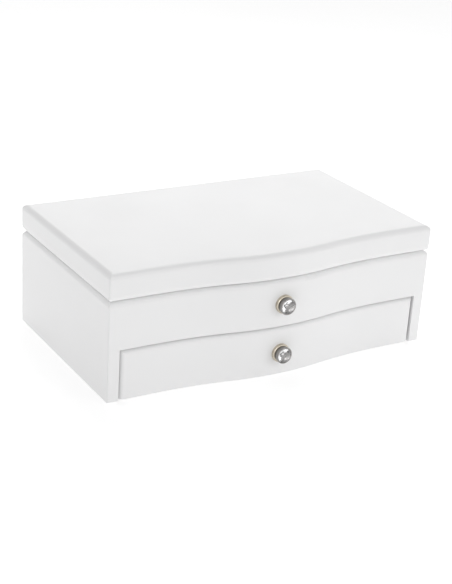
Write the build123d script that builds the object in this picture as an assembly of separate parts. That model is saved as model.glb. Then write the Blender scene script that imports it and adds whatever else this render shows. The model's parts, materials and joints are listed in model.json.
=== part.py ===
from build123d import *
import math
import os

# A jewellery chest: a tray under a hinged lid, with one drawer below. Its front swells forward in
# a serpentine curve. The origin is on the surface it stands on, under the middle of its box.
# +X is its right-hand side, +Y its back and +Z up. All sizes are in millimetres.

# Driving dimensions
WIDTH = 290.0
DEPTH = 165.0  # at the straight ends of the front
BODY_HEIGHT = 80.7
LID_HEIGHT = 21.7
PAD_HEIGHT = 1.5
LID_GAP = 0.2

# Serpentine front
BOW = 8.8  # how far its middle stands forward of its ends
STRAIGHT_END = 40.0
CROWN_HALF = 40.2  # half the width of the middle, convex arc

# Edges
CORNER_RADIUS = 1.1
LID_TOP_RADIUS = 4.6
LID_BASE_RADIUS = 3.7
BODY_TOP_RADIUS = 4.2
BODY_BASE_RADIUS = 0.8
DRAWER_EDGE_RADIUS = 3.2
DRAWER_BASE_RADIUS = 0.8
MOUTH_RADIUS = 0.8  # round the inside of the tray and of the lid's recess
BOX_EDGE_RADIUS = 1.2  # along the top of the drawer's sides and back

# Boards
SIDE_THICKNESS = 9.5
FRONT_THICKNESS = 9.5  # at its straight ends
BACK_THICKNESS = 12.0
BOTTOM_THICKNESS = 4.0
TRAY_FLOOR_THICKNESS = 3.0
GROOVE_DEPTH = 3.0
LID_BOARD_THICKNESS = 9.5
LID_RAIL_WIDTH = 12.0

# Drawer
BAY_HEIGHT = 42.0
DRAWER_FRONT_HALF = 134.2
DRAWER_FRONT_LOW = 0.4
DRAWER_FRONT_HIGH = 40.7
DRAWER_STOP_GAP = 0.2
DRAWER_SIDE_HALF = 134.0
DRAWER_SIDE_THICKNESS = 6.0
DRAWER_SIDE_LOW = BOTTOM_THICKNESS + 0.3
DRAWER_SIDE_HIGH = 36.5
DRAWER_BACK_GAP = 2.0
DRAWER_BOTTOM_THICKNESS = 3.0
DRAWER_BOTTOM_LIFT = 2.0
DRAWER_GROOVE = 2.5

# Lining
FLOOR_PAD = 2.0
WALL_PAD = 1.5
TRAY_PAD_DROP = 3.0  # below the rim
DRAWER_PAD_DROP = 1.0
DIVIDER_THICKNESS = 5.0
TRAY_DIVIDER_HEIGHT = 24.0
DRAWER_DIVIDER_HEIGHT = 20.0
RING_SECTION_WIDTH = 86.0
BACK_ROW_DEPTH = 58.0
FRONT_CELLS = 3
RING_ROLLS = 7
RING_ROLL_HEIGHT = 17.0
RING_ROLL_GAP = 0.3
LID_PAD = 2.5
LID_PAD_MARGIN = 0.4
MIRROR_WIDTH = 216.0
MIRROR_DEPTH = 104.0
MIRROR_THICKNESS = 3.0
MIRROR_BEVEL = 1.4

# Knobs, measured outward from the crown of the front
KNOB_HEIGHTS = {"upper": 60.6, "lower": 19.2}
FLANGE_RADIUS = 7.6
FLANGE_THICKNESS = 2.6
FLANGE_ROUND = 1.2
NECK_RADIUS = 4.4
NECK_END = 3.8
BEZEL_RADIUS = 6.8
BEZEL_END = 7.0
BEZEL_WALL = 0.9
BEZEL_FLOOR = 4.8
BEZEL_ROUND = 0.5
CRYSTAL_SIDES = 16
CRYSTAL_GIRDLE = 0.6
CRYSTAL_CROWN = 1.3
CRYSTAL_TABLE = 0.56  # the table's radius, and that of the stars' outer points, in radii of the crystal
CRYSTAL_STARS = 0.78
CRYSTAL_SEAT_RADIUS = 2.6
KNOB_REACH = BEZEL_END + CRYSTAL_CROWN
KNOB_SCREW_RADIUS = 1.6
KNOB_SCREW_CLEARANCE = 0.1
KNOB_SCREW_BITE = 3.0  # into the flange and neck
KNOB_HEAD_RADIUS = 3.6
KNOB_HEAD_HEIGHT = 2.2
KNOB_HEAD_ROUND = 0.9
COUNTERBORE_RADIUS = 4.2
COUNTERBORE_DEPTH = 3.0

# Hinges. Behind the hinge line both rear edges are cut back to a slope, and the slopes meet when
# the lid stands just past upright.
HINGE_INSET = 4.0
STOP_SLOPE = 50.0
HINGE_X = 88.0
HINGE_LENGTH = 30.0
LEAF_WIDTH = 7.6
LEAF_THICKNESS = 1.0
KNUCKLE_RADIUS = 2.2
KNUCKLE_GAP = 0.2
PIN_RADIUS = 1.0
PIN_CLEARANCE = 0.05
BARREL_CLEARANCE = 0.25
HINGE_SCREW_PITCH = 10.0
HINGE_SCREW_FROM_PIN = 5.2
HINGE_SCREW_RADIUS = 0.9
HINGE_SCREW_HEAD = 1.7
HINGE_SCREW_LENGTH = 8.0
SLOT_WIDTH = 0.5
SLOT_DEPTH = 0.45

# Feet
FOOT_RADIUS = 7.0
FOOT_FROM_SIDE = 12.0
FOOT_FROM_DRAWER = 9.0
FOOT_FROM_BACK = 12.0

# Places worked out from the driving dimensions
HALF = WIDTH / 2
FRONT_Y = (BOW + KNOB_REACH - DEPTH) / 2
CROWN_Y = FRONT_Y - BOW
BACK_Y = FRONT_Y + DEPTH
BASE_Z = PAD_HEIGHT
RIM_Z = BASE_Z + BODY_HEIGHT
LID_Z = RIM_Z + LID_GAP
TOP_Z = LID_Z + LID_HEIGHT
HINGE_Y = BACK_Y - HINGE_INSET
HINGE_Z = RIM_Z + LID_GAP / 2
BAY_HALF = HALF - SIDE_THICKNESS
BAY_FRONT = FRONT_Y + FRONT_THICKNESS
BAY_BACK = BACK_Y - BACK_THICKNESS
TRAY_Z = BASE_Z + BAY_HEIGHT
TRAY_TOP = TRAY_Z + TRAY_FLOOR_THICKNESS
TRAY_PAD_TOP = TRAY_TOP + FLOOR_PAD
DRAWER_BACK_Y = BAY_BACK - DRAWER_BACK_GAP
DRAWER_INNER = DRAWER_SIDE_HALF - DRAWER_SIDE_THICKNESS
DRAWER_INNER_BACK = DRAWER_BACK_Y - DRAWER_SIDE_THICKNESS
DRAWER_BOTTOM_Z = BASE_Z + DRAWER_SIDE_LOW + DRAWER_BOTTOM_LIFT
DRAWER_FLOOR = DRAWER_BOTTOM_Z + DRAWER_BOTTOM_THICKNESS
DRAWER_PAD_TOP = DRAWER_FLOOR + FLOOR_PAD

# Radii of the serpentine: two concave arcs lead from the straight ends into one convex crown.
SWELL_HALF = HALF - STRAIGHT_END
SWELL_ANGLE = 2 * math.atan2(BOW, SWELL_HALF)
CROWN_RADIUS = CROWN_HALF / math.sin(SWELL_ANGLE)
HOLLOW_RADIUS = SWELL_HALF / math.sin(SWELL_ANGLE) - CROWN_RADIUS


def on_front(x):
    """The point of the serpentine line at x, in plan."""
    across = abs(x)
    if across <= CROWN_HALF:
        forward = BOW - (CROWN_RADIUS - math.sqrt(CROWN_RADIUS**2 - across**2))
    elif across < SWELL_HALF:
        run = SWELL_HALF - across
        forward = HOLLOW_RADIUS - math.sqrt(HOLLOW_RADIUS**2 - run**2)
    else:
        forward = 0.0
    return (x, FRONT_Y - forward)


STANDING = (Align.CENTER, Align.CENTER, Align.MIN)


def block(low, high):
    """An upright box between two corners."""
    size = [b - a for a, b in zip(low, high)]
    return Pos(*low) * Box(*size, align=(Align.MIN, Align.MIN, Align.MIN))


def along_y(x, y, z):
    """A place whose own up points out of the front of the chest."""
    return Pos(x, y, z) * Rot(90, 0, 0)


def along_x(x, y, z):
    """A place whose own up points to the right of the chest."""
    return Pos(x, y, z) * Rot(0, 90, 0)


def plan_face():
    """The chest's outline in plan."""
    hollow_middle = (SWELL_HALF + CROWN_HALF) / 2
    arcs = [
        (-SWELL_HALF, -hollow_middle, -CROWN_HALF),
        (-CROWN_HALF, 0, CROWN_HALF),
        (CROWN_HALF, hollow_middle, SWELL_HALF),
    ]
    outline = [ThreePointArc(*[on_front(x) for x in arc]) for arc in arcs]
    outline.append(
        Polyline(
            on_front(SWELL_HALF),
            (HALF, FRONT_Y),
            (HALF, BACK_Y),
            (-HALF, BACK_Y),
            (-HALF, FRONT_Y),
            on_front(-SWELL_HALF),
        )
    )
    return make_face(Curve() + outline)


def edges_at(solid, z):
    """The edges that lie level at height z."""
    return solid.edges().filter_by_position(Axis.Z, z - 0.01, z + 0.01)


def shaped_block(low_z, height, low_radius, high_radius):
    """The whole plan as one block: mitred round edges above and below, and eased upright corners."""
    plain = Pos(0, 0, low_z) * extrude(plan_face(), height)
    rounded = fillet(edges_at(plain, low_z + height), high_radius)
    rounded = fillet(edges_at(rounded, low_z), low_radius)
    corners = plain.edges().filter_by(Axis.Z).filter_by(lambda e: abs(abs(e.center().X) - HALF) < 0.01)
    return rounded & fillet(corners, CORNER_RADIUS)


def stop_slope(side):
    """What the slope behind the hinge line takes away, above the rim (side 1) or below it (-1)."""
    edge_z = LID_Z if side > 0 else RIM_Z
    reach = 2 * HINGE_INSET
    rise = side * reach * math.tan(math.radians(STOP_SLOPE))
    far = (HINGE_Y + reach, edge_z + rise)
    outline = Polyline((HINGE_Y, edge_z), (HINGE_Y + reach, edge_z), far, close=True)
    face = Plane.YZ * make_face(outline)
    return Pos(-WIDTH, 0, 0) * extrude(face, 2 * WIDTH, dir=(1, 0, 0))


def hinge_places():
    """The middle of each hinge, from left to right."""
    return {"left": -HINGE_X, "right": HINGE_X}


def hinge_screw_xs(x):
    return [x + step * HINGE_SCREW_PITCH for step in (-1, 0, 1)]


def hinge_housing(side):
    """What both hinges take out of the wood above (1) or below (-1) the rim, with their screws."""
    cut = []
    for x in hinge_places().values():
        low_z = LID_Z if side > 0 else RIM_Z - LEAF_THICKNESS
        left = x - HINGE_LENGTH / 2
        mortise = block(
            (left, HINGE_Y - LEAF_WIDTH, low_z), (left + HINGE_LENGTH, HINGE_Y, low_z + LEAF_THICKNESS)
        )
        barrel = along_x(x, HINGE_Y, HINGE_Z) * Cylinder(
            KNUCKLE_RADIUS + BARREL_CLEARANCE, HINGE_LENGTH + 4 * BARREL_CLEARANCE
        )
        cut += [mortise, barrel]
        cut += [hinge_screw_hole(screw_x, side) for screw_x in hinge_screw_xs(x)]
    return cut


def hinge_screw_hole(x, side):
    middle = (LID_Z if side > 0 else RIM_Z) + side * HINGE_SCREW_LENGTH / 2
    place = Pos(x, HINGE_Y - HINGE_SCREW_FROM_PIN, middle)
    return place * Cylinder(HINGE_SCREW_RADIUS, HINGE_SCREW_LENGTH)


def hinge_screw(x, side, slotted=True):
    """A countersunk wood screw, driven up into the lid (side 1) or down into the back (-1)."""
    edge_z = LID_Z if side > 0 else RIM_Z
    head = Cone(HINGE_SCREW_HEAD, HINGE_SCREW_RADIUS, LEAF_THICKNESS, align=STANDING)
    shank = Cylinder(HINGE_SCREW_RADIUS, HINGE_SCREW_LENGTH, align=STANDING)
    screw = head + shank
    if slotted:
        screw -= Box(2 * HINGE_SCREW_HEAD, SLOT_WIDTH, 2 * SLOT_DEPTH)
    flip = Rot(0, 0, 0) if side > 0 else Rot(180, 0, 0)
    return Pos(x, HINGE_Y - HINGE_SCREW_FROM_PIN, edge_z) * flip * screw


def hinge_leaf(x, side):
    """A butt hinge's leaf: two outer knuckles on the chest's leaf, the middle one on the lid's."""
    low_z = LID_Z if side > 0 else RIM_Z - LEAF_THICKNESS
    left, right = x - HINGE_LENGTH / 2, x + HINGE_LENGTH / 2
    third = HINGE_LENGTH / 3
    leaf = block((left, HINGE_Y - LEAF_WIDTH, low_z), (right, HINGE_Y, low_z + LEAF_THICKNESS))
    own = (0,) if side > 0 else (-1, 1)
    for step in (-1, 0, 1):
        place = along_x(x + step * third, HINGE_Y, HINGE_Z)
        if step in own:
            leaf += place * Cylinder(KNUCKLE_RADIUS, third - KNUCKLE_GAP)
        else:
            leaf -= place * Cylinder(KNUCKLE_RADIUS + BARREL_CLEARANCE, third + KNUCKLE_GAP)
    leaf -= along_x(x, HINGE_Y, HINGE_Z) * Cylinder(PIN_RADIUS + PIN_CLEARANCE, 2 * HINGE_LENGTH)
    for screw_x in hinge_screw_xs(x):
        leaf -= hinge_screw(screw_x, side, slotted=False)
    return leaf


def hinge_pin(x):
    return along_x(x, HINGE_Y, HINGE_Z) * Cylinder(PIN_RADIUS, HINGE_LENGTH)


def knob_hole(z):
    """The screw's hole and counterbore through a front board."""
    through = along_y(0, (CROWN_Y + BAY_FRONT) / 2, z) * Cylinder(
        KNOB_SCREW_RADIUS + KNOB_SCREW_CLEARANCE, 2 * (BAY_FRONT - CROWN_Y)
    )
    counterbore = along_y(0, BAY_FRONT, z) * Cylinder(COUNTERBORE_RADIUS, 2 * COUNTERBORE_DEPTH)
    return [through, counterbore]


def knob_screw(z):
    """A pan-head machine screw that holds a knob from inside."""
    seat = BAY_FRONT - COUNTERBORE_DEPTH
    length = seat - CROWN_Y + KNOB_SCREW_BITE
    head = Pos(0, 0, -KNOB_HEAD_HEIGHT) * Cylinder(KNOB_HEAD_RADIUS, KNOB_HEAD_HEIGHT, align=STANDING)
    head = fillet(head.edges().group_by(Axis.Z)[0], KNOB_HEAD_ROUND)
    slot = Pos(0, 0, -KNOB_HEAD_HEIGHT) * Box(KNOB_HEAD_RADIUS, 2 * SLOT_WIDTH, KNOB_HEAD_HEIGHT)
    head -= [slot, Rot(0, 0, 90) * slot]
    shank = Cylinder(KNOB_SCREW_RADIUS, length, align=STANDING)
    return along_y(0, seat, z) * (head + shank)


def turned(points):
    """A solid turned about its own upright axis from a profile of (radius, height) points."""
    return revolve(Plane.XZ * make_face(Polyline(*points, close=True)), Axis.Z)


def knob_base(z):
    """The flange against the front, and the neck that carries the bezel."""
    profile = [
        (0, 0),
        (FLANGE_RADIUS, 0),
        (FLANGE_RADIUS, FLANGE_THICKNESS),
        (NECK_RADIUS, FLANGE_THICKNESS),
        (NECK_RADIUS, NECK_END),
        (0, NECK_END),
    ]
    base = turned(profile)
    rim = base.edges().filter_by(GeomType.CIRCLE).sort_by(lambda e: -e.radius)[:2].sort_by(Axis.Z)[-1]
    base = fillet(rim, FLANGE_ROUND)
    base -= Cylinder(KNOB_SCREW_RADIUS, 2 * KNOB_SCREW_BITE)
    return along_y(0, CROWN_Y, z) * base


def knob_bezel(z):
    """The cup that holds the crystal, open outward."""
    inner = BEZEL_RADIUS - BEZEL_WALL
    profile = [
        (0, NECK_END),
        (BEZEL_RADIUS, NECK_END),
        (BEZEL_RADIUS, BEZEL_END),
        (inner, BEZEL_END),
        (inner, BEZEL_END - CRYSTAL_GIRDLE),
        (CRYSTAL_SEAT_RADIUS, BEZEL_FLOOR),
        (0, BEZEL_FLOOR),
    ]
    cup = turned(profile)
    outer = cup.edges().filter_by(GeomType.CIRCLE).filter_by(lambda e: abs(e.radius - BEZEL_RADIUS) < 0.01)
    return along_y(0, CROWN_Y, z) * fillet(outer, BEZEL_ROUND)


def above_facet(turn, outer, inner):
    """All above a facet that faces turn degrees and runs from outer to inner, each (radius, height)."""
    slope = math.degrees(math.atan2(inner[1] - outer[1], outer[0] - inner[0]))
    reach = 4 * BEZEL_RADIUS
    slab = Box(reach, reach, reach, align=STANDING)
    return Rot(0, 0, turn) * Pos(outer[0], 0, outer[1]) * Rot(0, slope, 0) * slab


def knob_crystal(z):
    """A round brilliant: table, stars, kites and girdle facets above a seat like the bezel's."""
    radius = BEZEL_RADIUS - BEZEL_WALL
    girdle_z = BEZEL_END - CRYSTAL_GIRDLE
    table_z = BEZEL_END + CRYSTAL_CROWN
    step = 360 / CRYSTAL_SIDES
    lean, half_lean = math.cos(math.radians(step)), math.cos(math.radians(step / 2))
    table, star = CRYSTAL_TABLE * radius, CRYSTAL_STARS * radius
    star_z = BEZEL_END + CRYSTAL_CROWN * (radius - star * lean) / (radius - table)
    prism = extrude(RegularPolygon(radius, CRYSTAL_SIDES), table_z)
    crystal = prism & block((-radius, -radius, girdle_z), (radius, radius, table_z))
    for number in range(CRYSTAL_SIDES):
        turn = number * step
        if number % 2:
            crystal -= above_facet(turn, (star, star_z), (table * lean, table_z))
        else:
            crystal -= above_facet(turn, (radius, BEZEL_END), (table, table_z))
        girdle = (radius * half_lean, BEZEL_END)
        crystal -= above_facet(turn + step / 2, girdle, (star * half_lean, star_z))
    seat = turned([(0, BEZEL_FLOOR), (CRYSTAL_SEAT_RADIUS, BEZEL_FLOOR), (radius, girdle_z), (0, girdle_z)])
    return along_y(0, CROWN_Y, z) * (crystal + (seat & prism))


def mouth_edges(solid, z, half, front, back):
    """The front and side edges of a rectangular mouth, without the back one, which the hinges need square."""
    level = edges_at(solid, z)
    sides = level.filter_by(Axis.Y).filter_by(lambda e: abs(abs(e.center().X) - half) < 0.01)
    sides = sides.filter_by_position(Axis.Y, front - 0.01, back + 0.01)
    return sides + level.filter_by(Axis.X).filter_by_position(Axis.Y, front - 0.01, front + 0.01)


def carcass_boards():
    """The fixed case: sides, back, the fixed front above the drawer, bottom and tray floor."""
    over = 1.0
    case = shaped_block(BASE_Z, BODY_HEIGHT, BODY_BASE_RADIUS, BODY_TOP_RADIUS)
    case -= block((-BAY_HALF, BAY_FRONT, TRAY_Z), (BAY_HALF, BAY_BACK, RIM_Z + over))
    case = fillet(mouth_edges(case, RIM_Z, BAY_HALF, BAY_FRONT, BAY_BACK), MOUTH_RADIUS)
    case -= stop_slope(-1)
    case -= hinge_housing(-1)
    tray_groove = block(
        (-BAY_HALF - GROOVE_DEPTH, BAY_FRONT, TRAY_Z), (BAY_HALF + GROOVE_DEPTH, BAY_BACK, TRAY_TOP)
    )
    bottom_front = BAY_FRONT + DRAWER_STOP_GAP
    bottom_space = block(
        (-BAY_HALF - GROOVE_DEPTH, bottom_front, BASE_Z),
        (BAY_HALF + GROOVE_DEPTH, BAY_BACK + GROOVE_DEPTH, BASE_Z + BOTTOM_THICKNESS),
    )
    case -= [tray_groove, bottom_space]
    low_y, high_y = CROWN_Y - over, BACK_Y + over
    low_z, high_z = BASE_Z - over, RIM_Z + over
    fascia = case & block((-BAY_HALF, low_y, TRAY_Z), (BAY_HALF, BAY_FRONT, high_z))
    return {
        "left_side_panel": case & block((-HALF - over, low_y, low_z), (-BAY_HALF, high_y, high_z)),
        "right_side_panel": case & block((BAY_HALF, low_y, low_z), (HALF + over, high_y, high_z)),
        "back_panel": case & block((-BAY_HALF, BAY_BACK, low_z), (BAY_HALF, high_y, high_z)),
        "front_fascia": fascia - knob_hole(BASE_Z + KNOB_HEIGHTS["upper"]),
        "bottom_board": bottom_space,
        "tray_floor": tray_groove,
    }


def foot_pads():
    """Felt pads under the four corners, the front ones clear of the drawer's front."""
    x = HALF - FOOT_FROM_SIDE
    front, back = BAY_FRONT + FOOT_FROM_DRAWER, BACK_Y - FOOT_FROM_BACK
    places = {
        "front_left": (-x, front),
        "front_right": (x, front),
        "back_left": (-x, back),
        "back_right": (x, back),
    }
    disc = Cylinder(FOOT_RADIUS, PAD_HEIGHT, align=STANDING)
    return {f"foot_pad_{name}": Pos(*place, 0) * disc for name, place in places.items()}


def wall_pads(prefix, half, front, back, low_z, high_z):
    """Four thin pads that line the walls of a rectangular space."""
    inner = half - WALL_PAD
    return {
        f"{prefix}_left": block((-half, front, low_z), (-inner, back, high_z)),
        f"{prefix}_right": block((inner, front, low_z), (half, back, high_z)),
        f"{prefix}_front": block((-inner, front, low_z), (inner, front + WALL_PAD, high_z)),
        f"{prefix}_back": block((-inner, back - WALL_PAD, low_z), (inner, back, high_z)),
    }


def tray_fittings():
    """Lining, dividers and ring rolls of the tray under the lid."""
    parts = wall_pads("tray_lining", BAY_HALF, BAY_FRONT, BAY_BACK, TRAY_PAD_TOP, RIM_Z - TRAY_PAD_DROP)
    parts["tray_lining_floor"] = block((-BAY_HALF, BAY_FRONT, TRAY_TOP), (BAY_HALF, BAY_BACK, TRAY_PAD_TOP))
    half = BAY_HALF - WALL_PAD
    front, back = BAY_FRONT + WALL_PAD, BAY_BACK - WALL_PAD
    top = TRAY_PAD_TOP + TRAY_DIVIDER_HEIGHT
    ring_right = RING_SECTION_WIDTH - half
    cells_left = ring_right + DIVIDER_THICKNESS
    row_front = back - BACK_ROW_DEPTH - DIVIDER_THICKNESS
    parts["ring_section_divider"] = block((ring_right, front, TRAY_PAD_TOP), (cells_left, back, top))
    parts["long_divider"] = block(
        (cells_left, row_front, TRAY_PAD_TOP), (half, row_front + DIVIDER_THICKNESS, top)
    )
    cell = (half - cells_left - (FRONT_CELLS - 1) * DIVIDER_THICKNESS) / FRONT_CELLS
    for number in range(1, FRONT_CELLS):
        x = cells_left + number * cell + (number - 1) * DIVIDER_THICKNESS
        parts[f"cell_divider_{number}"] = block(
            (x, front, TRAY_PAD_TOP), (x + DIVIDER_THICKNESS, row_front, top)
        )
    for number in range(RING_ROLLS):
        pitch = (back - front) / RING_ROLLS
        y = front + (number + 0.5) * pitch
        parts[f"ring_roll_{number + 1}"] = ring_roll(-half, ring_right, y, pitch - RING_ROLL_GAP)
    return parts


def ring_roll(left, right, y, width):
    """A roll with a half-round top, lying from left to right."""
    radius = width / 2
    shoulder = TRAY_PAD_TOP + RING_ROLL_HEIGHT - radius
    body = block((left, y - radius, TRAY_PAD_TOP), (right, y + radius, TRAY_PAD_TOP + RING_ROLL_HEIGHT))
    top = along_x((left + right) / 2, y, shoulder) * Cylinder(radius, right - left)
    lower = block((left, y - radius, TRAY_PAD_TOP), (right, y + radius, shoulder))
    return lower + (body & top)


def lid_boards():
    """The lid: a top board on four rails, with a shallow recess under it."""
    over = 1.0
    board_z = TOP_Z - LID_BOARD_THICKNESS
    inner = HALF - LID_RAIL_WIDTH
    front, back = FRONT_Y + LID_RAIL_WIDTH, BACK_Y - LID_RAIL_WIDTH
    low_y, high_y = CROWN_Y - over, BACK_Y + over
    low_z = LID_Z - over
    lid = shaped_block(LID_Z, LID_HEIGHT, LID_BASE_RADIUS, LID_TOP_RADIUS)
    lid -= block((-inner, front, low_z), (inner, back, board_z))
    lid = fillet(mouth_edges(lid, LID_Z, inner, front, back), MOUTH_RADIUS)
    lid -= stop_slope(1)
    lid -= hinge_housing(1)
    return {
        "lid_top_board": lid & block((-HALF - over, low_y, board_z), (HALF + over, high_y, TOP_Z + over)),
        "lid_left_rail": lid & block((-HALF - over, low_y, low_z), (-inner, high_y, board_z)),
        "lid_right_rail": lid & block((inner, low_y, low_z), (HALF + over, high_y, board_z)),
        "lid_front_rail": lid & block((-inner, low_y, low_z), (inner, front, board_z)),
        "lid_back_rail": lid & block((-inner, back, low_z), (inner, high_y, board_z)),
    }


def lid_fittings():
    """The padded board in the lid's recess and the bevelled mirror on it."""
    margin = LID_RAIL_WIDTH + LID_PAD_MARGIN
    board_z = TOP_Z - LID_BOARD_THICKNESS
    pad_z = board_z - LID_PAD
    lining = block((margin - HALF, FRONT_Y + margin, pad_z), (HALF - margin, BACK_Y - margin, board_z))
    middle_y = (FRONT_Y + BACK_Y) / 2
    mirror = Box(MIRROR_WIDTH, MIRROR_DEPTH, MIRROR_THICKNESS)
    mirror = Pos(0, middle_y, pad_z - MIRROR_THICKNESS / 2) * mirror
    mirror = chamfer(mirror.edges().group_by(Axis.Z)[0], MIRROR_BEVEL)
    return {"lid_lining": lining, "lid_mirror": mirror}


def drawer_front():
    """The drawer's serpentine front, cut to the bay and rounded all round its face."""
    raised = Pos(0, 0, BASE_Z + DRAWER_FRONT_LOW) * extrude(plan_face(), DRAWER_FRONT_HIGH - DRAWER_FRONT_LOW)
    board = raised & block(
        (-DRAWER_FRONT_HALF, CROWN_Y - 1, BASE_Z), (DRAWER_FRONT_HALF, BAY_FRONT, BASE_Z + BAY_HEIGHT)
    )
    face_edges = board.edges().filter_by_position(Axis.Y, CROWN_Y - 1, FRONT_Y + 0.01)
    upright = face_edges.filter_by(Axis.Z).filter_by(lambda e: abs(e.center().X) > DRAWER_FRONT_HALF - 0.01)
    board = fillet(edges_on_face(board, BASE_Z + DRAWER_FRONT_HIGH) + upright, DRAWER_EDGE_RADIUS)
    board = fillet(edges_on_face(board, BASE_Z + DRAWER_FRONT_LOW), DRAWER_BASE_RADIUS)
    groove = block(
        (-DRAWER_INNER - DRAWER_GROOVE, BAY_FRONT - DRAWER_GROOVE, DRAWER_BOTTOM_Z),
        (DRAWER_INNER + DRAWER_GROOVE, BAY_FRONT, DRAWER_FLOOR),
    )
    return board - [groove, *knob_hole(BASE_Z + KNOB_HEIGHTS["lower"])]


def edges_on_face(board, z):
    """The level edges of the serpentine face at height z."""
    return edges_at(board, z).filter_by_position(Axis.Y, CROWN_Y - 1, FRONT_Y + 0.01).filter_by(
        lambda e: abs(e.tangent_at(0.5).Y) < 0.5
    )


def drawer_box():
    """Sides, back and bottom behind the drawer's front. The bottom sits in a groove all round."""
    low_z, high_z = BASE_Z + DRAWER_SIDE_LOW, BASE_Z + DRAWER_SIDE_HIGH
    bottom = block(
        (-DRAWER_INNER - DRAWER_GROOVE, BAY_FRONT - DRAWER_GROOVE, DRAWER_BOTTOM_Z),
        (DRAWER_INNER + DRAWER_GROOVE, DRAWER_INNER_BACK + DRAWER_GROOVE, DRAWER_FLOOR),
    )
    left = block((-DRAWER_SIDE_HALF, BAY_FRONT, low_z), (-DRAWER_INNER, DRAWER_BACK_Y, high_z))
    right = block((DRAWER_INNER, BAY_FRONT, low_z), (DRAWER_SIDE_HALF, DRAWER_BACK_Y, high_z))
    back = block((-DRAWER_INNER, DRAWER_INNER_BACK, low_z), (DRAWER_INNER, DRAWER_BACK_Y, high_z))
    left = fillet(edges_at(left, high_z).filter_by(Axis.Y), BOX_EDGE_RADIUS)
    right = fillet(edges_at(right, high_z).filter_by(Axis.Y), BOX_EDGE_RADIUS)
    back = fillet(edges_at(back, high_z).filter_by(Axis.X), BOX_EDGE_RADIUS)
    return {
        "drawer_left_side": left - bottom,
        "drawer_right_side": right - bottom,
        "drawer_back": back - bottom,
        "drawer_bottom": bottom,
    }


def drawer_fittings():
    """Lining and divider of the drawer."""
    high_z = BASE_Z + DRAWER_SIDE_HIGH - DRAWER_PAD_DROP
    parts = wall_pads("drawer_lining", DRAWER_INNER, BAY_FRONT, DRAWER_INNER_BACK, DRAWER_PAD_TOP, high_z)
    parts["drawer_lining_floor"] = block(
        (-DRAWER_INNER, BAY_FRONT, DRAWER_FLOOR), (DRAWER_INNER, DRAWER_INNER_BACK, DRAWER_PAD_TOP)
    )
    parts["drawer_divider"] = block(
        (-DIVIDER_THICKNESS / 2, BAY_FRONT + WALL_PAD, DRAWER_PAD_TOP),
        (DIVIDER_THICKNESS / 2, DRAWER_INNER_BACK - WALL_PAD, DRAWER_PAD_TOP + DRAWER_DIVIDER_HEIGHT),
    )
    return parts


def knobs():
    """Two like knobs, on the fixed front and on the drawer, each with its screw."""
    parts = {}
    for name, height in KNOB_HEIGHTS.items():
        z = BASE_Z + height
        parts[f"{name}_knob_base"] = knob_base(z)
        parts[f"{name}_knob_bezel"] = knob_bezel(z)
        parts[f"{name}_knob_crystal"] = knob_crystal(z)
        parts[f"{name}_knob_screw"] = knob_screw(z)
    return parts


def hinges():
    """Two butt hinges let into the back and the lid's rear rail, with their screws."""
    parts = {}
    for name, x in hinge_places().items():
        parts[f"chest_hinge_leaf_{name}"] = hinge_leaf(x, -1)
        parts[f"lid_hinge_leaf_{name}"] = hinge_leaf(x, 1)
        parts[f"hinge_pin_{name}"] = hinge_pin(x)
    xs = [screw_x for x in hinge_places().values() for screw_x in hinge_screw_xs(x)]
    parts["chest_hinge_screws"] = Compound([hinge_screw(x, -1) for x in xs])
    parts["lid_hinge_screws"] = Compound([hinge_screw(x, 1) for x in xs])
    return parts


def all_parts():
    return {
        **carcass_boards(),
        **foot_pads(),
        **tray_fittings(),
        **lid_boards(),
        **lid_fittings(),
        "drawer_front": drawer_front(),
        **drawer_box(),
        **drawer_fittings(),
        **knobs(),
        **hinges(),
    }


os.makedirs("parts", exist_ok=True)
for node, shape in all_parts().items():
    export_step(shape, f"parts/{node}.step")
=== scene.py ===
import json
import math

import bmesh
import bpy
from mathutils import Matrix, Vector, noise


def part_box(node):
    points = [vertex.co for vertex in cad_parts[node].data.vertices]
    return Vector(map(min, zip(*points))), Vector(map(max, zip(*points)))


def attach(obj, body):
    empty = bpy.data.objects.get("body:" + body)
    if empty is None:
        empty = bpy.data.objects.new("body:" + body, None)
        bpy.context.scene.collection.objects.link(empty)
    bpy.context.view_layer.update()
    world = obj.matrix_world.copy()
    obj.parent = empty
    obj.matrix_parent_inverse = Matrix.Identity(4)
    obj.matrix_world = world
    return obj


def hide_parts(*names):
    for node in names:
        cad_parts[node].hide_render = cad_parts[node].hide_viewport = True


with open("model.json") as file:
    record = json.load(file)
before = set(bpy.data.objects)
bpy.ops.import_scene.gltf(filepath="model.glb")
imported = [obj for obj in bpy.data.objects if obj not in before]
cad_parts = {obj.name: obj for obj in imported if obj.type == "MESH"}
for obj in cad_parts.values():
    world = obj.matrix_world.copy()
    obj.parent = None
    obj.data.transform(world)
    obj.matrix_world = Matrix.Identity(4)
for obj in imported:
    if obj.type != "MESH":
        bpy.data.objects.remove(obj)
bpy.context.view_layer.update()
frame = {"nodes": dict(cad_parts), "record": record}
NODES = frame["nodes"]
MM = 0.001

# ---------------------------------------------------------------- camera
# The camera's turn about the chest, its height and its tilt, in degrees, and what it looks at.
CAMERA_YAW = 31.56
CAMERA_PITCH = 22.67
CAMERA_ROLL = 3.69
CAMERA_DISTANCE = 0.97915
CAMERA_TARGET = Vector((-0.0614, -0.0964, 0.0871))
CAMERA_LENS = 82.3  # for a 36 mm sensor along the picture's long side


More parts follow.
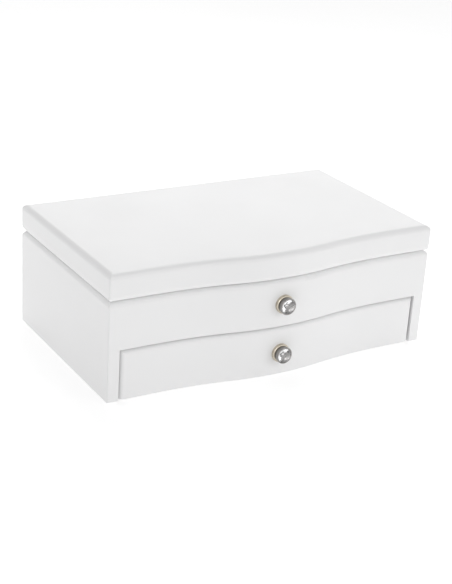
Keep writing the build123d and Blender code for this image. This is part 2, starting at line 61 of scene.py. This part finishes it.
def make_camera():
    yaw, pitch, roll = (math.radians(a) for a in (CAMERA_YAW, CAMERA_PITCH, CAMERA_ROLL))
    forward = Vector((math.sin(yaw) * math.cos(pitch), math.cos(yaw) * math.cos(pitch), -math.sin(pitch)))
    level = Vector((math.cos(yaw), -math.sin(yaw), 0))
    upright = level.cross(forward)
    right = math.cos(roll) * level + math.sin(roll) * upright
    up = math.cos(roll) * upright - math.sin(roll) * level
    data = bpy.data.cameras.new("camera")
    data.lens = CAMERA_LENS
    data.sensor_width = 36
    camera = bpy.data.objects.new("camera", data)
    turn = Matrix((right, up, -forward)).transposed().to_4x4()
    camera.matrix_world = Matrix.Translation(CAMERA_TARGET - CAMERA_DISTANCE * forward) @ turn
    bpy.context.scene.collection.objects.link(camera)
    bpy.context.scene.camera = camera


# ---------------------------------------------------------------- node materials
class Surface:
    """A procedural material: a Principled shader with helpers that add nodes."""

    def __init__(self, name, roughness=0.5, metallic=0.0, **sockets):
        self.material = bpy.data.materials.new(name)
        self.material.use_nodes = True
        self.tree = self.material.node_tree
        self.shader = self.tree.nodes["Principled BSDF"]
        self.set("Roughness", roughness)
        self.set("Metallic", metallic)
        for socket, value in sockets.items():
            self.set(socket.replace("_", " "), value)
        self.place = self.node("ShaderNodeTexCoord").outputs["Object"]

    def node(self, kind, **values):
        made = self.tree.nodes.new(kind)
        for key, value in values.items():
            setattr(made, key, value)
        return made

    def set(self, socket, value):
        self.shader.inputs[socket].default_value = value

    def link(self, output, socket):
        self.tree.links.new(output, socket)

    def stretch(self, scale):
        """Object coordinates scaled along each axis, for grain and nap."""
        mapping = self.node("ShaderNodeMapping")
        mapping.inputs["Scale"].default_value = scale
        self.link(self.place, mapping.inputs["Vector"])
        return mapping.outputs["Vector"]

    def noise(self, scale, detail=4.0, rough=0.5, distortion=0.0, place=None):
        texture = self.node("ShaderNodeTexNoise")
        texture.inputs["Scale"].default_value = scale
        texture.inputs["Detail"].default_value = detail
        texture.inputs["Roughness"].default_value = rough
        texture.inputs["Distortion"].default_value = distortion
        self.link(place or self.place, texture.inputs["Vector"])
        return texture.outputs["Fac"]

    def ramp(self, value, stops):
        ramp = self.node("ShaderNodeValToRGB")
        elements = ramp.color_ramp.elements
        while len(elements) < len(stops):
            elements.new(0.5)
        for element, (position, colour) in zip(elements, stops):
            element.position = position
            element.color = (*colour, 1)
        self.link(value, ramp.inputs["Fac"])
        return ramp.outputs["Color"]

    def span(self, value, low, high, from_low=0.3, from_high=0.7):
        """value stretched from one range to another."""
        node = self.node("ShaderNodeMapRange")
        sockets = ("From Min", "From Max", "To Min", "To Max")
        for socket, number in zip(sockets, (from_low, from_high, low, high)):
            node.inputs[socket].default_value = number
        self.link(value, node.inputs["Value"])
        return node.outputs["Result"]

    def mix(self, factor, first, second, mode="MIX"):
        node = self.node("ShaderNodeMix", data_type="RGBA", blend_type=mode)
        for socket, value in zip((node.inputs[0], node.inputs[6], node.inputs[7]), (factor, first, second)):
            if isinstance(value, bpy.types.NodeSocket):
                self.link(value, socket)
            else:
                socket.default_value = value
        return node.outputs[2]

    def colour(self, output):
        self.link(output, self.shader.inputs["Base Color"])

    def rough(self, output):
        self.link(output, self.shader.inputs["Roughness"])

    def bumps(self, *layers):
        """Bump layers, each (height output, depth in metres, strength)."""
        before = None
        for height, depth, strength in layers:
            bump = self.node("ShaderNodeBump")
            bump.inputs["Strength"].default_value = strength
            bump.inputs["Distance"].default_value = depth
            self.link(height, bump.inputs["Height"])
            if before:
                self.link(before, bump.inputs["Normal"])
            before = bump.outputs["Normal"]
        self.link(before, self.shader.inputs["Normal"])


def grey(value, tint=(1, 1, 1)):
    return tuple(value * t for t in tint)


LACQUER_TINT = (0.998, 0.997, 1.0)


def lacquer():
    """Satin white paint sprayed on fibreboard: faint orange peel, slow drift in tone and gloss."""
    s = Surface("white_lacquer", roughness=0.3, IOR=1.5)
    cloud = s.noise(9, detail=3, rough=0.55)
    s.colour(s.ramp(cloud, [(0.3, grey(0.835, LACQUER_TINT)), (0.7, grey(0.862, LACQUER_TINT))]))
    s.rough(s.span(s.noise(34, detail=5, rough=0.6), 0.29, 0.38))
    s.bumps((s.noise(420, detail=2, rough=0.4), 0.00002, 0.3), (s.noise(55, detail=2), 0.00008, 0.2))
    return s.material


def hardboard():
    """Plain brown board with short pressed fibres."""
    s = Surface("backing_board", roughness=0.75)
    fibre = s.noise(900, detail=5, rough=0.7, place=s.stretch((1, 0.35, 1)))
    patch = s.noise(14, detail=4)
    tone = s.mix(s.span(patch, 0.2, 0.8), (0.34, 0.25, 0.165, 1), (0.42, 0.315, 0.21, 1))
    speck = s.ramp(fibre, [(0.35, grey(0.78)), (0.62, grey(1.0))])
    s.colour(s.mix(1.0, tone, speck, "MULTIPLY"))
    s.rough(s.span(fibre, 0.62, 0.85))
    s.bumps((fibre, 0.00008, 0.5))
    return s.material


def plywood():
    """Pale sanded wood with long grain along Y."""
    s = Surface("drawer_wood", roughness=0.55)
    along = s.stretch((26, 1.6, 26))
    rings = s.noise(9, detail=6, rough=0.62, distortion=0.8, place=along)
    pores = s.noise(160, detail=3, rough=0.7, place=s.stretch((7, 0.35, 7)))
    late, middle, early = (0.52, 0.37, 0.22), (0.64, 0.49, 0.31), (0.72, 0.57, 0.38)
    tone = s.ramp(rings, [(0.28, late), (0.5, middle), (0.72, early)])
    s.colour(s.mix(1.0, tone, s.ramp(pores, [(0.3, grey(0.82)), (0.5, grey(1.0))]), "MULTIPLY"))
    s.rough(s.span(rings, 0.48, 0.64))
    s.bumps((pores, 0.00006, 0.45), (rings, 0.00005, 0.4))
    return s.material


VELOUR = (0.50, 0.50, 0.515)


def velour():
    """Short pile that lies in patches, with a soft sheen at grazing angles."""
    s = Surface("velour", roughness=0.92, Sheen_Weight=0.55, Sheen_Roughness=0.35)
    s.set("Sheen Tint", (0.95, 0.96, 1.0, 1))
    s.set("Specular IOR Level", 0.15)
    nap = s.noise(38, detail=5, rough=0.62, distortion=0.6)
    pile = s.noise(2600, detail=2, rough=0.6)
    low, high = (tuple(c * k for c in VELOUR) for k in (0.82, 1.12))
    base = s.ramp(nap, [(0.3, low), (0.52, VELOUR), (0.74, high)])
    s.colour(s.mix(1.0, base, s.ramp(pile, [(0.3, grey(0.82)), (0.65, grey(1.08))]), "MULTIPLY"))
    s.bumps((pile, 0.00025, 0.55), (nap, 0.0004, 0.25))
    return s.material


def felt():
    """Pressed fibres in a dense mat."""
    s = Surface("foot_felt", roughness=0.95, Sheen_Weight=0.25)
    fibre = s.noise(1500, detail=6, rough=0.75, distortion=1.5)
    s.colour(s.ramp(fibre, [(0.3, grey(0.42)), (0.7, grey(0.62))]))
    s.bumps((fibre, 0.0003, 0.8))
    return s.material


def metal(name, colour, roughness, grain, turned=False):
    """Plated metal with fine brushing, drawn out along X unless it was turned, and faint stains."""
    s = Surface(name, roughness=roughness, metallic=1.0)
    brush = s.noise(grain, detail=4, rough=0.7, place=s.stretch((1, 1, 1) if turned else (0.15, 1, 1)))
    stain = s.noise(240, detail=4)
    dark = tuple(c * 0.86 for c in colour)
    s.colour(s.ramp(stain, [(0.3, dark), (0.6, colour)]))
    s.rough(s.span(brush, roughness * 0.8, roughness * 1.35))
    s.bumps((brush, 0.00001, 0.3))
    return s.material


def mirror_glass():
    """Silvered glass: near-perfect reflection, a trace of haze."""
    s = Surface("mirror", roughness=0.02, metallic=1.0)
    haze = s.noise(16, detail=6, rough=0.6)
    s.colour(s.ramp(haze, [(0.3, (0.86, 0.885, 0.88)), (0.6, (0.90, 0.915, 0.91))]))
    s.rough(s.span(haze, 0.012, 0.045))
    s.bumps((s.noise(5, detail=1), 0.0001, 0.02))
    return s.material


def crystal_glass():
    """Clear cut glass with faint flaws."""
    s = Surface("crystal", roughness=0.0, Transmission_Weight=1.0, IOR=1.52)
    flaw = s.noise(700, detail=3)
    s.colour(s.ramp(flaw, [(0.35, (0.97, 0.98, 1.0)), (0.6, (1.0, 1.0, 1.0))]))
    s.rough(s.span(flaw, 0.0, 0.02))
    return s.material


# ---------------------------------------------------------------- stage
FLOOR_HALF = 9.0
FLOOR_GLOW = 0.37
# The white tent round the chest: its walls are brightest to the right, its ceiling is dim.
TENT_WALL = 0.8
TENT_LEAN = (0.34, 0.04, 0)
TENT_CEILING = 0.45
CEILING_STARTS = 0.55
CEILING_FULL = 0.8


def make_floor():
    mesh = bpy.data.meshes.new("floor")
    corners = [(x * FLOOR_HALF, y * FLOOR_HALF, 0) for x, y in ((-1, -1), (1, -1), (1, 1), (-1, 1))]
    mesh.from_pydata(corners, [], [(0, 1, 2, 3)])
    floor = bpy.data.objects.new("floor", mesh)
    bpy.context.scene.collection.objects.link(floor)
    s = Surface("floor_paper", roughness=0.9)
    tone = s.noise(3, detail=2)
    s.colour(s.ramp(tone, [(0.3, grey(0.90)), (0.7, grey(0.92))]))
    s.set("Emission Color", (1, 1, 1, 1))
    s.set("Emission Strength", FLOOR_GLOW)
    s.set("Specular IOR Level", 0.1)
    mesh.materials.append(s.material)


def make_sky():
    """A white tent of light: bright walls near the horizon, a dimmer ceiling overhead."""
    world = bpy.data.worlds.new("tent")
    bpy.context.scene.world = world
    world.use_nodes = True
    tree = world.node_tree
    place = tree.nodes.new("ShaderNodeTexCoord").outputs["Generated"]
    lean = tree.nodes.new("ShaderNodeVectorMath")
    lean.operation = "DOT_PRODUCT"
    lean.inputs[1].default_value = TENT_LEAN
    wall = tree.nodes.new("ShaderNodeMath")
    wall.inputs[1].default_value = TENT_WALL
    split = tree.nodes.new("ShaderNodeSeparateXYZ")
    rise = tree.nodes.new("ShaderNodeMapRange")
    rise.interpolation_type = "SMOOTHSTEP"
    rise.inputs["From Min"].default_value = CEILING_STARTS
    rise.inputs["From Max"].default_value = CEILING_FULL
    blend = tree.nodes.new("ShaderNodeMix")
    blend.inputs["B"].default_value = TENT_CEILING
    tree.links.new(place, lean.inputs[0])
    tree.links.new(lean.outputs["Value"], wall.inputs[0])
    tree.links.new(place, split.inputs[0])
    tree.links.new(split.outputs["Z"], rise.inputs["Value"])
    tree.links.new(rise.outputs["Result"], blend.inputs["Factor"])
    tree.links.new(wall.outputs[0], blend.inputs["A"])
    tree.links.new(blend.outputs["Result"], tree.nodes["Background"].inputs["Color"])


LIGHT_AIM = Vector((0, 0, 0.05))


def area_light(name, place, size, power, lights_paint=True):
    """A light aimed at the chest. One that doesn't light paint is a card, seen only in gloss and glass."""
    data = bpy.data.lights.new(name, "AREA")
    data.shape = "RECTANGLE"
    data.size, data.size_y = size
    data.energy = power
    light = bpy.data.objects.new(name, data)
    light.location = place
    light.rotation_mode = "QUATERNION"
    light.rotation_quaternion = (LIGHT_AIM - Vector(place)).to_track_quat("-Z", "Y")
    light.visible_camera = False
    light.visible_diffuse = lights_paint
    bpy.context.scene.collection.objects.link(light)


def make_lights():
    area_light("softbox_right", (0.35, -0.8, 0.4), (0.4, 0.4), 0.58)
    area_light("softbox_left_back", (-0.5, 0.35, 0.3), (0.3, 0.3), 0.2)
    area_light("softbox_high_back", (0.3, 0.5, 1.15), (0.5, 0.5), 3.2)
    area_light("softbox_high_left", (-0.7, 0.0, 1.1), (0.5, 0.5), 0.8)
    area_light("card_left", (-0.45, -0.8, 0.4), (0.9, 0.6), 3.2, lights_paint=False)
    area_light("card_back", (0.58, 0.94, 0.46), (1.2, 0.6), 1.7, lights_paint=False)
    area_light("card_high", (0.1, -0.9, 0.7), (0.3, 0.3), 0.9, lights_paint=False)


# ---------------------------------------------------------------- pieces
def new_piece(name, mesh, material, body):
    """An object in the row frame that moves with a body and takes its finish from a slot."""
    piece = bpy.data.objects.new(name, mesh)
    bpy.context.scene.collection.objects.link(piece)
    mesh.materials.append(material)
    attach(piece, body)
    return piece


def soft_mesh(name, bm, smooth=True):
    """A finished mesh, smooth all over unless its facets are to show."""
    mesh = bpy.data.meshes.new(name)
    bm.to_mesh(mesh)
    bm.free()
    for face in mesh.polygons:
        face.use_smooth = smooth
    return mesh


def join_rings(bm, rings):
    """Quads between each closed ring of points and the next."""
    around = len(rings[0])
    for first, second in zip(rings, rings[1:]):
        for i in range(around):
            j = (i + 1) % around
            bm.faces.new((first[i], first[j], second[j], second[i]))


# ---------------------------------------------------------------- crystals
CROWN_SHARE = 0.53  # of a crystal's height; its seat is the rest
CRYSTAL_FIT = 0.99  # a crystal's width over its bezel's
CRYSTAL_WELD = 1e-6
PAVILION_DEPTH = 0.92  # of the room behind the girdle
PAVILION_RING = 0.42  # where its lower facets meet, in radii


def brilliant(side, body, glass):
    """A crystal of clear glass: its crown as cut, over a pavilion of kites round a point."""
    node = f"{side}_knob_crystal"
    low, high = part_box(node)
    middle = (low + high) / 2
    radius = CRYSTAL_FIT * (high.x - low.x) / 2
    seat_top = low.y + CROWN_SHARE * (high.y - low.y)
    bm = bmesh.new()
    bm.from_mesh(NODES[node].data)
    bmesh.ops.remove_doubles(bm, verts=bm.verts, dist=CRYSTAL_WELD)
    seat = [face for face in bm.faces if all(vert.co.y > seat_top for vert in face.verts)]
    bmesh.ops.delete(bm, geom=seat, context="FACES")
    for vert in bm.verts:
        vert.co.x = middle.x + CRYSTAL_FIT * (vert.co.x - middle.x)
        vert.co.z = middle.z + CRYSTAL_FIT * (vert.co.z - middle.z)
    ring = [vert for vert in bm.verts if vert.is_boundary]
    ring.sort(key=lambda vert: math.atan2(vert.co.z - middle.z, vert.co.x - middle.x))
    sides = len(ring)
    girdle_y = ring[0].co.y
    depth = PAVILION_DEPTH * (high.y - girdle_y)
    lean = math.cos(2 * math.pi / sides)  # keeps the kites flat
    tip = bm.verts.new((middle.x, girdle_y + depth, middle.z))
    inner = []
    for vert in ring[1::2]:
        out = Vector((vert.co.x - middle.x, 0, vert.co.z - middle.z)).normalized()
        sink = depth * (1 - PAVILION_RING * lean)
        spot = Vector((middle.x, girdle_y + sink, middle.z)) + PAVILION_RING * radius * out
        inner.append(bm.verts.new(spot))
    for k, vert in enumerate(inner):
        before, here, after = ring[2 * k], ring[2 * k + 1], ring[(2 * k + 2) % sides]
        bm.faces.new((vert, before, here))
        bm.faces.new((vert, here, after))
        bm.faces.new((tip, vert, after, inner[(k + 1) % len(inner)]))
    bmesh.ops.recalc_face_normals(bm, faces=bm.faces)
    piece = new_piece(f"{side}_knob_brilliant", soft_mesh(node, bm, smooth=False), glass, body)
    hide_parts(node)


# ---------------------------------------------------------------- soft goods
class Pad:
    """How a padded piece swells inside its node's box, in metres."""

    def __init__(self, radius, crown, wobble, step, fill):
        self.radius = radius  # of its edges
        self.crown = crown  # how far its faces stand out from their edges
        self.wobble = wobble  # the cloth's unevenness
        self.step = step  # between the points of its mesh
        self.fill = fill  # from 0, slack, to 1, tight


WALL = Pad(0.0007, 0.0002, 0.00012, 0.004, 0.7)
FLOOR = Pad(0.0009, 0.0003, 0.00018, 0.004, 0.6)
BOARD = Pad(0.0019, 0.0004, 0.00022, 0.003, 0.8)
LID_PAD = Pad(0.0011, 0.0004, 0.0002, 0.004, 0.7)
EDGE_TURNS = (0, 25, 50, 75)  # degrees round an edge, where a skin has its points
SKIN_WELD = 1e-7
WAVES = ((90, 1.0), (260, 0.5))  # the cloth's unevenness: how close its waves are, and their share
WAVE_MEAN = 0.5  # of a pad's wobble, the part that it sinks by everywhere
WAVE_SWING = 0.33
FACING = 0.9  # how squarely a point looks at the glued face's side to belong to it


def stops(low, high, radius, step):
    """Places along one side: close together round the edges and evenly spaced between."""
    run = high - low
    radius = min(radius, run / 2)
    count = max(1, round((run - 2 * radius) / step))
    ease = [radius * (1 - math.cos(math.radians(turn))) for turn in EDGE_TURNS]
    inner = [low + radius + (run - 2 * radius) * i / count for i in range(count + 1)]
    return [low + e for e in ease] + inner + [high - e for e in reversed(ease)]


def box_skin(low, high, radius, step):
    """A closed skin of quads over a box, with each point given in box coordinates."""
    bm = bmesh.new()
    spans = [stops(low[k], high[k], radius, step) for k in range(3)]
    for axis in range(3):
        across, along = [k for k in range(3) if k != axis]
        for end in (low[axis], high[axis]):
            grid = []
            for u in spans[across]:
                row = []
                for v in spans[along]:
                    place = [0, 0, 0]
                    place[axis], place[across], place[along] = end, u, v
                    row.append(bm.verts.new(place))
                grid.append(row)
            for i in range(len(grid) - 1):
                for j in range(len(grid[0]) - 1):
                    bm.faces.new((grid[i][j], grid[i + 1][j], grid[i + 1][j + 1], grid[i][j + 1]))
    bmesh.ops.remove_doubles(bm, verts=bm.verts, dist=SKIN_WELD)
    bmesh.ops.recalc_face_normals(bm, faces=bm.faces)
    return bm


def pillow(point, low, high, pad, flat):
    """Where a point of the box's skin lies on the padded piece. Flat points out of the glued face."""
    half = (high - low) / 2
    middle = (low + high) / 2
    local = point - middle
    radius = min(pad.radius, *half)
    core = Vector(max(-(half[k] - radius), min(half[k] - radius, local[k])) for k in range(3))
    out = local - core
    if out.length > 0:
        out.normalize()
    place = core + radius * out
    thin = min(range(3), key=lambda k: half[k])
    level = [abs(place[k]) / half[k] for k in range(3) if k != thin]
    sunk = pad.crown * (1 - (1 - level[0] ** 4) * (1 - level[1] ** 4))
    place[thin] -= math.copysign(sunk, place[thin]) * abs(out[thin])
    wave = sum(share * noise.noise(scale * (middle + place)) for scale, share in WAVES)
    drift = pad.wobble * (WAVE_MEAN + WAVE_SWING * wave)
    if out.dot(flat) > FACING:
        drift = 0
    return middle + place - drift * out


def padded_board(node, name, body, material, pad, flat):
    """A board wrapped in velour: rounded edges, slightly crowned faces, a little unevenness."""
    low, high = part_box(node)
    bm = box_skin(low, high, pad.radius, pad.step)
    for vert in bm.verts:
        vert.co = pillow(vert.co.copy(), low, high, pad, flat)
    piece = new_piece(name, soft_mesh(name, bm), material, body)
    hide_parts(node)


DOWN = Vector((0, 0, -1))
UP = Vector((0, 0, 1))
OUTWARD = {
    "left": Vector((-1, 0, 0)),
    "right": Vector((1, 0, 0)),
    "front": Vector((0, -1, 0)),
    "back": Vector((0, 1, 0)),
}


def line_walls(prefix, body, velour):
    for side, outward in OUTWARD.items():
        padded_board(f"{prefix}_{side}", f"{prefix}_pad_{side}", body, velour, WALL, outward)
    padded_board(f"{prefix}_floor", f"{prefix}_pad_floor", body, velour, FLOOR, DOWN)


def line_tray(velour):
    line_walls("tray_lining", "chest", velour)
    for node in ("ring_section_divider", "long_divider", "cell_divider_1", "cell_divider_2"):
        padded_board(node, f"{node}_wrapped", "chest", velour, BOARD, DOWN)
    ring_rolls(velour)


def line_drawer(velour):
    line_walls("drawer_lining", "drawer", velour)
    padded_board("drawer_divider", "drawer_divider_wrapped", "drawer", velour, BOARD, DOWN)


def line_lid(velour):
    padded_board("lid_lining", "lid_pad", "lid", velour, LID_PAD, UP)


# Ring rolls: foam in a velour sleeve. Each starts a little small and swells under pressure.
ROLLS = 7
ROLL_STEP = 0.0022  # from ring to ring along a roll
ROLL_AROUND = 30  # steps over its half round
ROLL_SIDE_STEPS = 3
ROLL_BASE_POINTS = (-0.6, -0.2, 0.2, 0.6)  # across its flat base, in shares of the base's half width
ROLL_CORNER = 0.0016
ROLL_CORNER_TURNS = (-90, -60, -30, 0)
ROLL_SHRINK = 0.0009  # how much smaller it starts, on each side
ROLL_END_ROUND = 0.0022
# The gathered ends: how far in each ring lies, in end rounds, and how wide it is.
ROLL_GATHERS = ((0.0, 0.34), (0.0, 0.62), (0.0, 0.82), (0.25, 0.93), (0.65, 0.98))
ROLL_GLUED = 0.0002  # cloth this near the base stays put
ROLL_FRAMES = 20
ROLL_PRESSURE = 4.0
ROLL_CLOTH = {
    "quality": 6,
    "mass": 0.2,
    "tension_stiffness": 12,
    "compression_stiffness": 12,
    "shear_stiffness": 4,
    "bending_stiffness": 0.05,
    "shrink_min": -0.03,
}
ROLL_CAP = 0.0014  # the farthest that a point may move
ROLL_CLEAR = 0.00005  # kept from the sides of its box
ROLL_HEART = 0.4  # the height that its creases point to, in shares of its own
CREASE_DEPTH = 0.0003
CREASE_SCALE = Vector((55, 160, 160))
CREASE_SHIFT = Vector((0, 0, 7.3))  # from one roll's pattern to the next


def arc(centre, radius, turns):
    """Points round a centre, as (y, z), at the given turns in radians."""
    return [(centre[0] + radius * math.cos(turn), centre[1] + radius * math.sin(turn)) for turn in turns]


def roll_outline(low, high, inset):
    """The section of a roll, a half round on a square base with soft lower corners, as (y, z)."""
    middle, radius = (low.y + high.y) / 2, (high.y - low.y) / 2
    half = radius - inset
    shoulder = high.z - radius
    heel = low.z + ROLL_CORNER
    foot = half - ROLL_CORNER
    right_turns = [math.radians(turn) for turn in ROLL_CORNER_TURNS]
    left_turns = [math.radians(180 - turn) for turn in reversed(ROLL_CORNER_TURNS)]
    side = [heel + (shoulder - heel) * i / ROLL_SIDE_STEPS for i in range(1, ROLL_SIDE_STEPS)]
    outline = arc((middle + foot, heel), ROLL_CORNER, right_turns)
    outline += [(middle + half, z) for z in side]
    outline += arc((middle, shoulder), half, [math.pi * i / ROLL_AROUND for i in range(ROLL_AROUND + 1)])
    outline += [(middle - half, z) for z in reversed(side)]
    outline += arc((middle - foot, heel), ROLL_CORNER, left_turns)
    outline += [(middle + foot * share, low.z) for share in ROLL_BASE_POINTS]
    return outline


def roll_rings(low, high):
    """Where the rings of a roll lie along X, and how wide each is."""
    start, stop = low.x + ROLL_SHRINK, high.x - ROLL_SHRINK
    rings = [(start + depth * ROLL_END_ROUND, width) for depth, width in ROLL_GATHERS]
    count = round((stop - start) / ROLL_STEP)
    plain = stop - start - 2 * ROLL_END_ROUND
    rings += [(start + ROLL_END_ROUND + plain * i / count, 1.0) for i in range(count + 1)]
    rings += [(stop - depth * ROLL_END_ROUND, width) for depth, width in reversed(ROLL_GATHERS)]
    return rings


def roll_mesh(low, high):
    """A roll's sleeve as a quad tube along X, closed at both ends by gathered rings."""
    bm = bmesh.new()
    outline = roll_outline(low, high, ROLL_SHRINK)
    middle_y, middle_z = (low.y + high.y) / 2, (low.z + high.z) / 2
    made = []
    for x, width in roll_rings(low, high):
        row = []
        for y, z in outline:
            place = (x, middle_y + (y - middle_y) * width, middle_z + (z - middle_z) * width)
            row.append(bm.verts.new(place))
        made.append(row)
    join_rings(bm, made)
    bm.faces.new(made[0])
    bm.faces.new(made[-1])
    bmesh.ops.recalc_face_normals(bm, faces=bm.faces)
    return bm


def swell(piece, pinned):
    """Blows a closed skin up with Blender's cloth, and gives back where its points come to lie."""
    group = piece.vertex_groups.new(name="pinned")
    group.add(pinned, 1.0, "REPLACE")
    cloth = piece.modifiers.new("cloth", "CLOTH")
    cloth.settings.use_pressure = True
    cloth.settings.uniform_pressure_force = ROLL_PRESSURE
    cloth.settings.effector_weights.gravity = 0
    cloth.settings.vertex_group_mass = "pinned"
    for setting, value in ROLL_CLOTH.items():
        setattr(cloth.settings, setting, value)
    cloth.point_cache.frame_start = 1
    cloth.point_cache.frame_end = ROLL_FRAMES
    for frame_number in range(1, ROLL_FRAMES + 1):
        bpy.context.scene.frame_set(frame_number)
    shape = piece.evaluated_get(bpy.context.evaluated_depsgraph_get())
    places = [vert.co.copy() for vert in shape.data.vertices]
    piece.modifiers.remove(cloth)
    piece.vertex_groups.remove(group)
    bpy.context.scene.frame_set(1)
    return places


def swollen_places(sleeve, rest, low):
    trial = bpy.data.objects.new("trial_roll", sleeve)
    bpy.context.scene.collection.objects.link(trial)
    places = swell(trial, [i for i, place in enumerate(rest) if place.z < low.z + ROLL_GLUED])
    bpy.data.objects.remove(trial)
    return places


def creased(spot, number, low, high):
    """A swollen point pressed in by its own roll's creases, and kept inside the roll's box."""
    crease = noise.noise(spot * CREASE_SCALE + number * CREASE_SHIFT)
    heart = Vector((spot.x, (low.y + high.y) / 2, low.z + ROLL_HEART * (high.z - low.z)))
    spot = spot + (spot - heart).normalized() * (CREASE_DEPTH * (crease - 1))
    return Vector(max(low[k] + ROLL_CLEAR, min(high[k] - ROLL_CLEAR, spot[k])) for k in range(3))


def ring_rolls(velour):
    """One roll is swollen by simulation. The others are its cloth again, each creased its own way."""
    low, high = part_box("ring_roll_1")
    sleeve = soft_mesh("ring_roll", roll_mesh(low, high))
    rest = [vert.co.copy() for vert in sleeve.vertices]
    places = swollen_places(sleeve, rest, low)
    for number in range(1, ROLLS + 1):
        node = f"ring_roll_{number}"
        own_low, own_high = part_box(node)
        shift = own_low - low
        mesh = sleeve.copy()
        for vert, start, place in zip(mesh.vertices, rest, places):
            moved = place - start
            if moved.length > ROLL_CAP:
                moved = moved * (ROLL_CAP / moved.length)
            vert.co = creased(start + moved + shift, number, own_low, own_high)
        piece = new_piece(f"{node}_sleeve", mesh, velour, "chest")
        smooth_once(piece)
        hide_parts(node)


def smooth_once(piece):
    extra = piece.modifiers.new("smooth", "SUBSURF")
    extra.levels = 1
    extra.render_levels = 1


# A foot's section, from the middle of its top to its rim: shares of its radius and half its height.
FOOT_TOP = ((0.0, 1.0), (0.5, 1.0), (0.82, 1.0), (0.93, 0.97), (0.985, 0.8), (1.0, 0.45))
FOOT_AROUND = 64
FOOT_RIM = 0.9  # beyond this share of its radius the felt is fuzzy
FUZZ_SCALE = 900
FUZZ_DEPTH = 0.00025
FUZZ_MEAN = 0.6
FUZZ_LAYER = 9  # how much the fuzz changes from one ring to the next


def make_feet(felt):
    """Felt discs cut with a slightly fuzzy, rounded rim."""
    profile = list(FOOT_TOP) + [(share, -level) for share, level in reversed(FOOT_TOP)]
    for place in ("front_left", "front_right", "back_left", "back_right"):
        node = f"foot_pad_{place}"
        low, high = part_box(node)
        middle = (low + high) / 2
        radius, half = (high.x - low.x) / 2, (high.z - low.z) / 2
        bm = bmesh.new()
        rings = []
        for share, level in profile:
            row = []
            for i in range(FOOT_AROUND):
                turn = 2 * math.pi * i / FOOT_AROUND
                spot = Vector((math.cos(turn), math.sin(turn), 0)) * (share * radius)
                if share > FOOT_RIM:
                    tuft = noise.noise(FUZZ_SCALE * (middle + spot) + Vector((0, 0, FUZZ_LAYER * level)))
                    spot *= 1 + FUZZ_DEPTH * (tuft - FUZZ_MEAN) / radius
                row.append(bm.verts.new(middle + spot + Vector((0, 0, level * half))))
            rings.append(row)
        join_rings(bm, rings)
        bmesh.ops.remove_doubles(bm, verts=bm.verts, dist=SKIN_WELD)
        bmesh.ops.recalc_face_normals(bm, faces=bm.faces)
        piece = new_piece(f"felt_foot_{place}", soft_mesh(node, bm), felt, "chest")
        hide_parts(node)


# ---------------------------------------------------------------- finish of the CAD nodes
def paint_cad(materials):
    """Every CAD node gets its record slot's material."""
    slots = {row["node"]: row["material_slot"] for row in frame["record"]["subparts"]}
    for name, node in NODES.items():
        node.data.materials.clear()
        node.data.materials.append(materials[slots[name]])


CRYSTAL_BOUNCES = 16  # light goes to and fro inside a crystal before it comes out


def main():
    make_camera()
    make_floor()
    make_sky()
    make_lights()
    scene = bpy.context.scene
    scene.view_settings.view_transform = "Standard"
    scene.cycles.max_bounces = CRYSTAL_BOUNCES
    scene.cycles.glossy_bounces = CRYSTAL_BOUNCES
    scene.cycles.transmission_bounces = CRYSTAL_BOUNCES
    materials = {
        "white_lacquer": lacquer(),
        "backing_board": hardboard(),
        "drawer_wood": plywood(),
        "velour": velour(),
        "foot_felt": felt(),
        "mirror": mirror_glass(),
        "hinge_nickel": metal("hinge_nickel", (0.66, 0.64, 0.60), 0.34, 1500),
        "knob_nickel": metal("knob_nickel", (0.60, 0.545, 0.45), 0.3, 2500, turned=True),
        # The knob chrome's colour sits well below that of bright chrome: painted shade standing in for the
        # dark surroundings that the bezel's side reflects.
        "knob_chrome": metal("knob_chrome", (0.30, 0.29, 0.28), 0.2, 2500, turned=True),
        "crystal": crystal_glass(),
    }
    paint_cad(materials)
    for side, body in (("upper", "chest"), ("lower", "drawer")):
        brilliant(side, body, materials["crystal"])
    line_tray(materials["velour"])
    line_drawer(materials["velour"])
    line_lid(materials["velour"])
    make_feet(materials["foot_felt"])


main()
